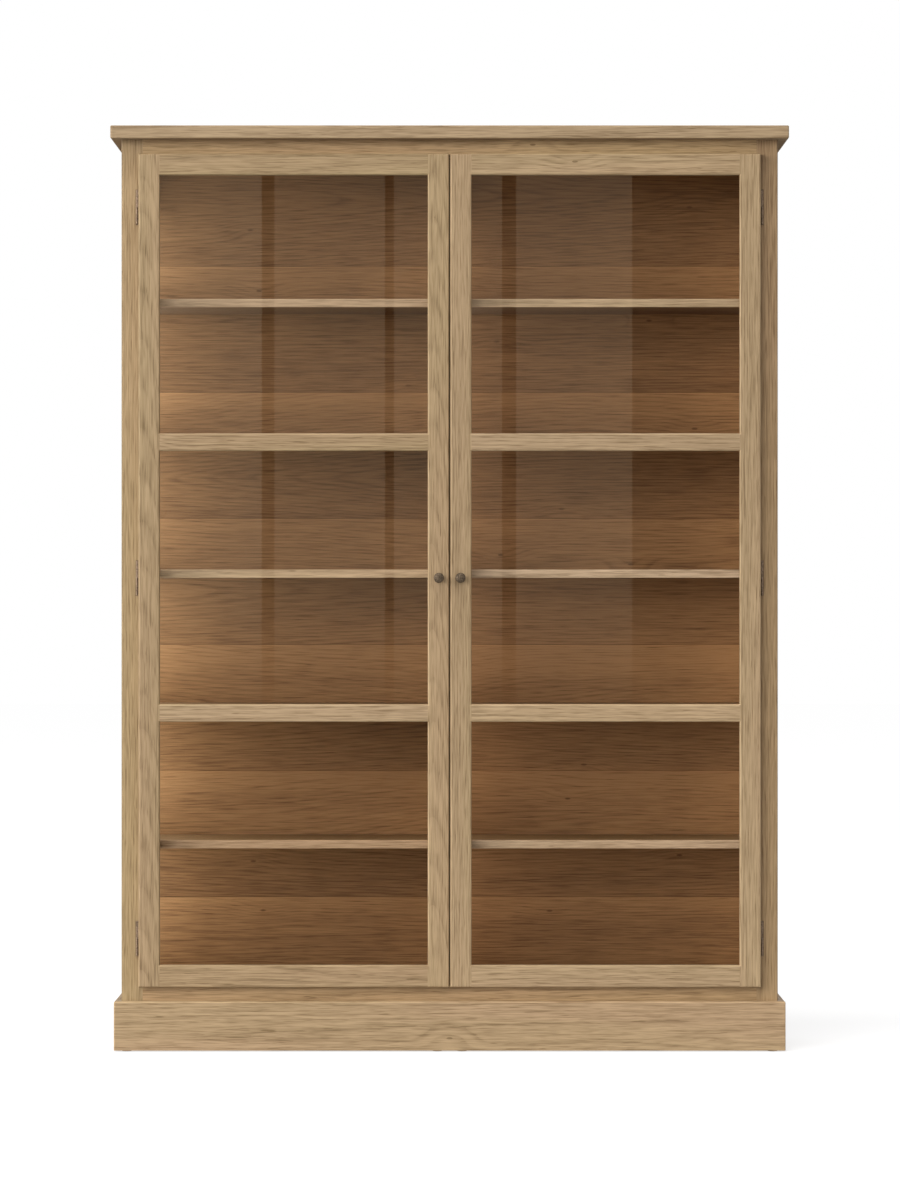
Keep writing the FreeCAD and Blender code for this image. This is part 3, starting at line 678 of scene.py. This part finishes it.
def oak(name, grain, cut, heart, lean, tone_and_light_lift, lipping, edge_wear_and_light):
    """One board's finish."""
    material, finish = new_finish(name)
    axes = board_axes(finish, grain)
    marks = oak_figure(finish, axes, cut, heart, lean)
    marks["ends"] = end_grain(finish, grain)
    marks["facing_down"] = underside(finish)
    shade = oak_shade + added(marks, oak_amounts)
    wood = finish.blend(shade, tinted(pale_oak, tone_and_light_lift), tinted(brown_oak, tone_and_light_lift))
    patch = finish.blend(marks["patch"], colour(*green_patch), colour(*warm_patch))
    wood = finish.blend(1.0, wood, patch, "MULTIPLY")
    wood = finish.stain(marks["ends"], wood, colour(*end_tone))
    wood = finish.stain(rounded_edge(finish), wood, grey(edge_wear_and_light))
    if lipping:
        wood = veneered(finish, wood, axes[2], lipping, tone_and_light_lift, marks["facing_down"])
    finish.output(finish.node("BsdfPrincipled", {}, {
        "Base Color": wood, "Roughness": oiled + added(marks, oak_roughness),
        "Specular IOR Level": oak_gleam, "Normal": relief(finish, marks, oak_relief)}))
    return material


print("oak from", pale_oak, "to", brown_oak)

# %% [markdown]
# ## A tone for each board, with painted light
# No two boards are quite alike, and some are a little yellower, pinker or paler than others. The numbers
# multiply the red, green and blue of the two oak tones, and some of them are painted light. The shelves are
# lifted most, a painted lift against the shade that they stand in, so that their edges are almost as pale as
# the doors; the top rail of the face frame is lifted against the shadow of the top board. The pale line on
# the edges of doors and plinth is partly wear and partly a painted highlight, and the darker edge of the face
# frame is painted shade.

# %% Tones of the boards and painted light
board_tones_and_light_lifts = {
    "top_board": (1.0, 1.02, 1.1),
    # painted light: the top rail is lifted against the shadow of the top board
    "frame_top_rail": (1.28, 1.26, 1.16),
    "frame_left_stile": (1.03, 1.05, 0.99),
    "frame_right_stile": (1.03, 0.99, 0.94),
    "frame_bottom_rail": (1.14, 1.08, 0.98),
    "plinth_front": (1.07, 1.08, 1.11),
    "left_door_hinge_stile": (0.96, 0.98, 0.98),
    "left_door_meeting_stile": (1.0, 1.02, 1.02),
    "left_door_top_rail": (0.93, 0.96, 0.93),
    "left_door_upper_mid_rail": (0.98, 1.0, 1.0),
    "left_door_lower_mid_rail": (1.08, 1.12, 1.18),
    "left_door_bottom_rail": (0.98, 0.98, 0.98),
    "right_door_hinge_stile": (1.04, 1.06, 1.1),
    "right_door_meeting_stile": (1.0, 1.03, 1.04),
    "right_door_top_rail": (1.03, 1.06, 1.08),
    "right_door_upper_mid_rail": (1.04, 1.05, 1.13),
    "right_door_lower_mid_rail": (1.1, 1.12, 1.18),
    "right_door_bottom_rail": (1.04, 1.05, 1.1),
    # painted light: the shelves are lifted against the shade inside the case
    "left_shelf_1": (1.25, 1.1, 1.2),
    "left_shelf_2": (1.25, 1.15, 1.3),
    "left_shelf_3": (1.35, 1.3, 1.45),
    "left_shelf_4": (1.25, 1.15, 1.3),
    "left_shelf_5": (1.2, 1.15, 1.3),
    "right_shelf_1": (1.5, 1.44, 1.72),
    "right_shelf_2": (1.4, 1.32, 1.5),
    "right_shelf_3": (1.5, 1.5, 1.8),
    "right_shelf_4": (1.25, 1.2, 1.35),
    "right_shelf_5": (1.25, 1.2, 1.35)}
usual_tint = (1.0, 1.0, 1.0)
# rounded edges: the face frame gets painted shade, the others partly wear and partly a painted highlight
frame_edge_shade = 0.85
plinth_edge_wear_and_highlight = 1.28
usual_edge_wear_and_highlight = 1.14


def edge_wear_and_light_of(name):
    """How pale or dark the rounded edges of a board are painted: wear with a painted highlight, or painted
    shade on the face frame.
    """
    if name.startswith("frame"):
        return frame_edge_shade
    return plinth_edge_wear_and_highlight if name.startswith("plinth") else usual_edge_wear_and_highlight


print("boards with a tone of their own", len(board_tones_and_light_lifts))

# %% [markdown]
# ## Each board's place in the tree
# Uprights are sawn beside the heart for straight grain that stays flat. Two stiles of the left-hand door were
# cut nearer to it, at a slant, and show arches, as do rails, plinth and shelves. Random places would do, but
# a spread of numbers by the golden ratio is better: neighbours in the list never come out alike, and every
# run gives the same boards.

# %% Places in the tree
golden = 0.61803
step_apart = 0.37
upright = ("stile", "side_panel", "mullion", "partition")
front_to_back = ("plinth_left", "plinth_right", "centre_bearers")
arched = ("left_door_hinge_stile", "left_door_meeting_stile")
upright_beside = (0.09, 0.17)
level_beside = (-0.06, 0.06)
arched_beside = 0.012
heart_behind = (0.03, 0.09)
usual_lean = (-0.01, 0.01)
arched_lean = 0.06


def spread(number, step, low, high):
    """A number between low and high that differs from its neighbours."""
    return low + (high - low) * ((number * golden + step * step_apart) % 1)


def grain_of(name):
    """The axis of the frame that a board's grain follows."""
    if name in front_to_back:
        return "y"
    return "z" if name.endswith(upright) else "x"


def heart_of(number, name, centre, grain):
    """Where the tree's heart lies across and into a board, and how much the board leans in the tree."""
    across = centre.x if grain == "z" else centre.z
    deep = centre.x if grain == "y" else centre.y
    beside = spread(number, 1, *(upright_beside if grain == "z" else level_beside))
    behind = spread(number, 2, *heart_behind)
    lean = spread(number, 6, *usual_lean)
    if name in arched:
        beside = arched_beside
        lean = arched_lean
    turn = 1 if number % 2 else -1
    return (across + turn * beside, deep + behind), lean


print("grain of a stile", grain_of("frame_left_stile"), "and of a rail", grain_of("frame_top_rail"))

# %% [markdown]
# ## Dress the boards
# What isn't glass, metal, plastic or the veneered back is oak. We go through those boards in the order of
# their names and give each its own material.

# %% Oak boards
tree_size = 10
lipping_depth = 0.02
not_oak = ("back_panel", "pane", "pins", "screws", "hinge_leaves", "frame_leaves", "magnets", "plates",
           "knob", "glides")
boards = sorted(name for name in pieces if not name.endswith(not_oak))
for number, name in enumerate(boards):
    grain = grain_of(name)
    low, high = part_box(name)
    heart, lean = heart_of(number, name, (low + high) / 2, grain)
    cut = [spread(number, step, 0, tree_size) for step in (3, 4, 5)]
    tone_and_light_lift = board_tones_and_light_lifts.get(name, usual_tint)
    lipping = low.y + lipping_depth if "shelf" in name else None
    dress(pieces[name], oak(name + "_oak", grain, cut, heart, lean, tone_and_light_lift, lipping, edge_wear_and_light_of(name)))
print("oak boards", len(boards))

# %% [markdown]
# ## The leaves of the back
# The back is a thin panel faced with wide leaves of oak veneer, laid with their grain level. Each leaf could
# be a piece of its own, but they are pressed flush, so a finish is enough. We count leaves up the panel, on
# the left and on the right of the middle. White noise turns a leaf's number into three chances from 0 to 1,
# which give each leaf its own heart, slant and tone.

# %% Leaves of veneer
leaf_height = 0.2806
first_joint = 0.315
right_leaves = 31.0


def leaf_at(finish, along, across):
    """The number of the leaf at a point, how far up the leaf the point lies, and three chances."""
    step = (across - (first_joint - leaf_height)) / leaf_height
    leaf = finish.whole(step) + (along > 0.0) * right_leaves
    chance = finish.node("TexWhiteNoise", {"noise_dimensions": "1D"}, {"W": leaf}, out="Color")
    first = finish.node("SeparateColor", {}, {"Color": chance}, out="Red")
    return leaf, finish.part_of_one(step), (first, first.other("Green"), first.other("Blue"))


# %% [markdown]
# ## The figure of a leaf
# Veneer was peeled through the heart of the tree, so its figure is wide arches. The recipe is that of a
# board, but flat: a leaf's number takes the place of the depth, so that no two leaves carry on each other's
# lines.

# %% Figure of a leaf
leaf_ring_width = 0.0075
rare_leaf_knot = 0.8
leaf_shift = 9.0
leaf_knot_shift = 7.3
leaf_slow_cells = (1.3, 5.0)
leaf_quick_cells = (5.0, 26.0)
leaf_bend_apart = 3.7
leaf_slow_bend = 0.07
leaf_quick_bend = 0.006
leaf_heart_range = 0.16
leaf_heart_depth = 0.012
leaf_depth_range = 0.03
leaf_lean_range = 0.16
leaf_lean_bend = 0.03
leaf_cells = {"band": (0.8, 18.0), "streak": (5.5, 130.0), "lines": (8.0, 290.0), "fibre": (15.0, 430.0),
              "pores": (18.0, 400.0)}


def leaf_figure(finish, along, leaf, up, chances):
    """The marks of a leaf, with a heart, a depth and a lean by its chances."""
    first, second, third = chances
    u = along + first * leaf_shift
    v = (up - 0.5) * leaf_height

    def spot(lengthwise, crosswise, apart=1.0):
        return finish.place(u * lengthwise, v * crosswise, leaf * apart)

    slow = finish.clouds(spot(*leaf_slow_cells, leaf_bend_apart)) - 0.5
    quick = finish.clouds(spot(*leaf_quick_cells, leaf_bend_apart)) - 0.5
    beside = v + (second - 0.5) * leaf_heart_range + slow * leaf_slow_bend + quick * leaf_quick_bend
    behind = leaf_heart_depth + third * leaf_depth_range
    reach = finish.root(beside * beside + behind * behind)
    slant = along * (first - 0.5) * leaf_lean_range + slow * leaf_lean_bend
    knots, swirl = pin_knots(finish, u, v + leaf * leaf_knot_shift, rare_leaf_knot)
    rings = ring_share(finish, (reach + slant) / leaf_ring_width + swirl)
    marks = grain_marks(finish, spot, leaf_cells, rings)
    marks["knots"] = knots
    return marks


print("rings of the veneer are", leaf_ring_width * 1000, "mm wide")

# %% [markdown]
# ## The veneered back
# A leaf is pale at its top edge and darker towards its bottom edge, so the joints between leaves show as
# level steps, each with a fine dark glue line and a light arris. Between knee and hip height the leaves are
# painted paler, a painted lift of light. The two tones are redder and darker than those of the boards; part
# of that darkness is painted shade of the inside of the case.

# %% Veneered back
# the veneer tones are partly their own colour and partly painted shade of the inside of the case
pale_veneer = (0.415, 0.2, 0.077)
brown_veneer = (0.158, 0.065, 0.02)
crest_range = (0.7, 1.0)
# painted light: between these heights the back is painted paler
light_lift_begins = (0.3, 0.45)
light_lift_ends = (0.9, 1.2)
glue_range = (0.003, 0.01)
glue_tone = (0.72, 0.68, 0.62)
arris_range = (0.988, 0.994)
arris_lift = 1.12
veneer_shade = 0.47
veneer_amounts = {"rings": 0.24, "band": 0.5, "streak": 0.45, "lines": 0.19, "fibre": 0.26, "pores": 0.45,
                  "knots": 1.3, "own": 0.1, "up": -0.18, "crest": -0.22, "painted_light_lift": -0.22}
veneer_roughness = {"fibre": 0.1}
veneer_gleam = 0.25
veneer_relief = 0.2


def veneer(name):
    """The finish of the whole back."""
    material, finish = new_finish(name)
    along, across, _ = board_axes(finish, "x")
    leaf, up, chances = leaf_at(finish, along, across)
    marks = leaf_figure(finish, along, leaf, up, chances)
    marks["own"] = chances[2] - 0.5
    marks["up"] = up
    marks["crest"] = finish.ease(up, *crest_range)
    marks["painted_light_lift"] = finish.ease(across, *light_lift_begins) - finish.ease(across, *light_lift_ends)
    shade = veneer_shade + added(marks, veneer_amounts)
    wood = finish.blend(shade, colour(*pale_veneer), colour(*brown_veneer))
    glue_line = 1 - finish.ease(up, *glue_range)
    wood = finish.stain(glue_line, wood, colour(*glue_tone))
    wood = finish.stain(finish.ease(up, *arris_range), wood, grey(arris_lift))
    finish.output(finish.node("BsdfPrincipled", {}, {
        "Base Color": wood, "Roughness": oiled + added(marks, veneer_roughness),
        "Specular IOR Level": veneer_gleam, "Normal": relief(finish, marks, veneer_relief)}))
    return material


dress(pieces["back_panel"], veneer("oak_veneer"))
print("veneer from", pale_veneer, "to", brown_veneer)

# %% [markdown]
# ## Bronze, steel and plastic
# Knobs and hinges are bronze gone dark, and the hinges are worn brighter. Screws, pins and plates are zinc on
# steel, the magnets have a skin of nickel, and the glides are dark plastic. All of them are small, so a
# mottled tone and a little roughness do the work, and one recipe serves them all.

# %% Mottled recipe
mottle_detail = 3.0
mottle_roughness = 0.6
mottle_range = (0.35, 0.68)
mottle_dull = 0.2
mottle_relief = 0.3
mottle_height = 0.0003


def mottled(name, dark, bright, size, metallic, rough):
    """A tone that changes between dark and bright in grains of a size."""
    material, finish = new_finish(name)
    spot = finish.node("TexCoord", {}, {}, out="Object")
    x = finish.node("SeparateXYZ", {}, {"Vector": spot}, out="X")
    where = finish.place(x / size, x.other("Y") / size, x.other("Z") / size)
    grains = finish.clouds(where, mottle_detail, mottle_roughness)
    tone = finish.blend(finish.ease(grains, *mottle_range), colour(*dark), colour(*bright))
    bump = finish.node("Bump", {}, {"Strength": mottle_relief, "Distance": mottle_height, "Height": grains})
    finish.output(finish.node("BsdfPrincipled", {}, {
        "Base Color": tone, "Metallic": metallic, "Roughness": rough + grains * mottle_dull,
        "Normal": bump}))
    return material


# %% Metal and plastic
bronze = mottled("aged_bronze", dark=(0.045, 0.03, 0.017), bright=(0.17, 0.122, 0.076),
                 size=0.0022, metallic=0.7, rough=0.45)
worn_bronze = mottled("worn_bronze", dark=(0.09, 0.058, 0.034), bright=(0.3, 0.21, 0.14),
                      size=0.0022, metallic=0.7, rough=0.4)
zinc = mottled("zinc_steel", dark=(0.42, 0.42, 0.4), bright=(0.62, 0.62, 0.6),
               size=0.003, metallic=1.0, rough=0.25)
nickel = mottled("nickel_magnet", dark=(0.4, 0.4, 0.41), bright=(0.55, 0.55, 0.56),
                 size=0.002, metallic=1.0, rough=0.2)
plastic = mottled("glide_plastic", dark=(0.016, 0.014, 0.012), bright=(0.028, 0.025, 0.022),
                  size=0.004, metallic=0.0, rough=0.5)
fitting_finish = {"knob": bronze, "hinge_leaves": worn_bronze, "frame_leaves": worn_bronze, "screws": zinc,
                  "pins": zinc, "plates": zinc, "magnets": nickel, "glides": plastic}
for ending, material in fitting_finish.items():
    fittings = [piece for name, piece in pieces.items() if name.endswith(ending)]
    for fitting in fittings:
        dress(fitting, material)
    print(ending, len(fittings), material.name)

# %% [markdown]
# ## Sizes at the end
# Dressing the pieces must not change their size, so we write down the box of the cut pieces and the box of
# what shows.

# %% Sizes
low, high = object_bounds()
print("shown box", [round(top - bottom, 4) for bottom, top in zip(low, high)])
